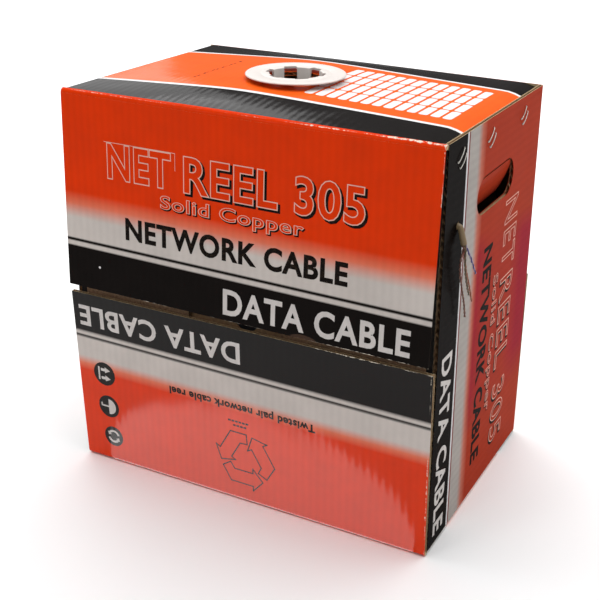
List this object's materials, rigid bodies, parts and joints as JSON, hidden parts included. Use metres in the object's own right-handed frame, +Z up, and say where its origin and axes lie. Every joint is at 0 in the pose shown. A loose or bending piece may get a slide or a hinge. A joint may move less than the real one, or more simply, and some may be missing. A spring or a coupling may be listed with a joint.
{
  "type": "cable spool box",
  "caption": "Corrugated carton that holds a reel of network cable on a level axle and pays it out through a ring in its top, with hand holes and opening end flaps.",
  "frame": {"origin": "centre of the carton's bottom face", "axes": "+Z up, -Y towards the printed front flaps, +X towards the side panel with the stitched joint and the cable's free end"},
  "size_m": [0.3716, 0.2442, 0.3734],
  "materials": {
    "printed_board": "glossy litho print in orange, black and white on single-wall corrugated board",
    "kraft_board": "bare brown kraft liner on single-wall corrugated board",
    "fibreboard": "bare solid fibreboard",
    "tube_board": "spiral-wound paperboard tube",
    "ring_plastic": "white moulded polypropylene, satin",
    "hub_plastic": "black moulded plastic",
    "stitch_steel": "galvanised flat stitching wire",
    "cable_jacket": "grey PVC cable jacket",
    "pair_blue": "blue insulated pair",
    "pair_green": "dark green insulated pair",
    "pair_orange": "orange-brown insulated pair",
    "pair_brown": "brown insulated pair"
  },
  "bodies": {
    "root": {"bottom_panel": "printed_board", "top_panel": "printed_board", "left_panel": "printed_board", "right_panel": "printed_board", "joint_tab": "kraft_board", "front_left_inner_flap": "kraft_board", "front_right_inner_flap": "kraft_board", "rear_left_inner_flap": "kraft_board", "rear_right_inner_flap": "kraft_board", "guide_ring": "ring_plastic", "front_support_pad": "kraft_board", "rear_support_pad": "kraft_board", "spool_axle": "hub_plastic", "cable_tail": "cable_jacket", "twisted_pair_blue": "pair_blue", "twisted_pair_green": "pair_green", "twisted_pair_orange": "pair_orange", "twisted_pair_brown": "pair_brown", "front_stitch_upper": "stitch_steel", "front_stitch_lower": "stitch_steel", "middle_stitch_upper": "stitch_steel", "middle_stitch_lower": "stitch_steel", "rear_stitch_upper": "stitch_steel", "rear_stitch_lower": "stitch_steel"},
    "spool": {"spool_front_flange": "fibreboard", "spool_rear_flange": "fibreboard", "spool_front_hub": "hub_plastic", "spool_rear_hub": "hub_plastic", "spool_core": "tube_board", "wound_cable": "cable_jacket"},
    "front_upper_flap": {"front_upper_flap": "printed_board"},
    "front_lower_flap": {"front_lower_flap": "printed_board"},
    "rear_upper_flap": {"rear_upper_flap": "printed_board"},
    "rear_lower_flap": {"rear_lower_flap": "printed_board"},
    "left_handle_flap": {"left_handle_flap": "printed_board"},
    "right_handle_flap": {"right_handle_flap": "printed_board"}
  },
  "joints": [
    {"name": "spool_spin", "type": "hinge", "parent": "root", "child": "spool", "pos_m": [0, 0, 0.18], "axis": [0, 1, 0], "continuous": true},
    {"name": "front_upper_flap_hinge", "type": "hinge", "parent": "root", "child": "front_upper_flap", "pos_m": [0, -0.118, 0.36], "axis": [-1, 0, 0], "range_deg": [0, 210]},
    {"name": "front_lower_flap_hinge", "type": "hinge", "parent": "root", "child": "front_lower_flap", "pos_m": [0, -0.118, 0], "axis": [1, 0, 0], "range_deg": [0, 88]},
    {"name": "rear_upper_flap_hinge", "type": "hinge", "parent": "root", "child": "rear_upper_flap", "pos_m": [0, 0.118, 0.36], "axis": [1, 0, 0], "range_deg": [0, 210]},
    {"name": "rear_lower_flap_hinge", "type": "hinge", "parent": "root", "child": "rear_lower_flap", "pos_m": [0, 0.118, 0], "axis": [-1, 0, 0], "range_deg": [0, 88]},
    {"name": "right_handle_flap_hinge", "type": "hinge", "parent": "root", "child": "right_handle_flap", "pos_m": [0.174, 0, 0.313], "axis": [0, 1, 0], "range_deg": [-20, 65]},
    {"name": "left_handle_flap_hinge", "type": "hinge", "parent": "root", "child": "left_handle_flap", "pos_m": [-0.174, 0, 0.313], "axis": [0, -1, 0], "range_deg": [-20, 65]}
  ]
}
